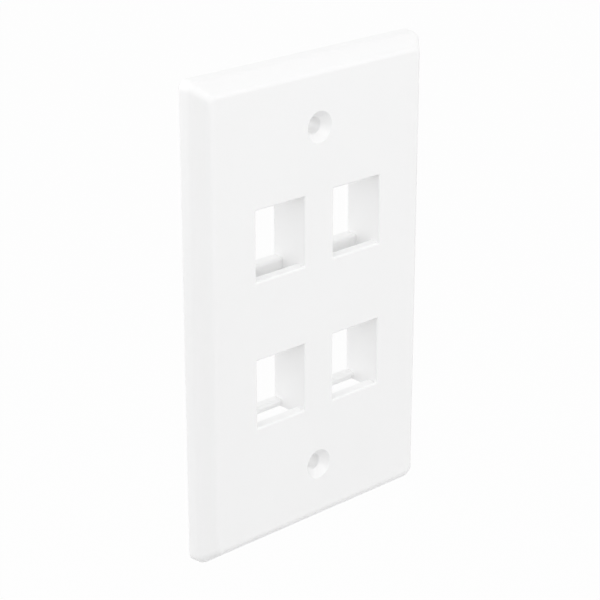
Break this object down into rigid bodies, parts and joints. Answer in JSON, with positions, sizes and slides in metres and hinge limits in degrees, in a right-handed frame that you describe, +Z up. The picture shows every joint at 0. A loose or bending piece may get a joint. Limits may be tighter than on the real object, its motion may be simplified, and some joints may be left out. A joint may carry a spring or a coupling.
{
  "type": "keystone faceplate",
  "caption": "Single-gang wall plate of white moulded plastic with a grid of keystone ports, their latch tunnels behind, and countersunk screw holes above and below.",
  "frame": {"origin": "centre of the screw pattern on the plane of the rear rim, where the plate meets the wall", "axes": "+Z up along the long side, +Y into the wall, the face looks along -Y, +X to the right as seen from the front"},
  "size_m": [0.07, 0.0104, 0.115],
  "materials": {
    "white_plastic": "smooth moulded white plastic with a soft gloss"
  },
  "bodies": {
    "root": {"faceplate": "white_plastic"}
  },
  "joints": []
}
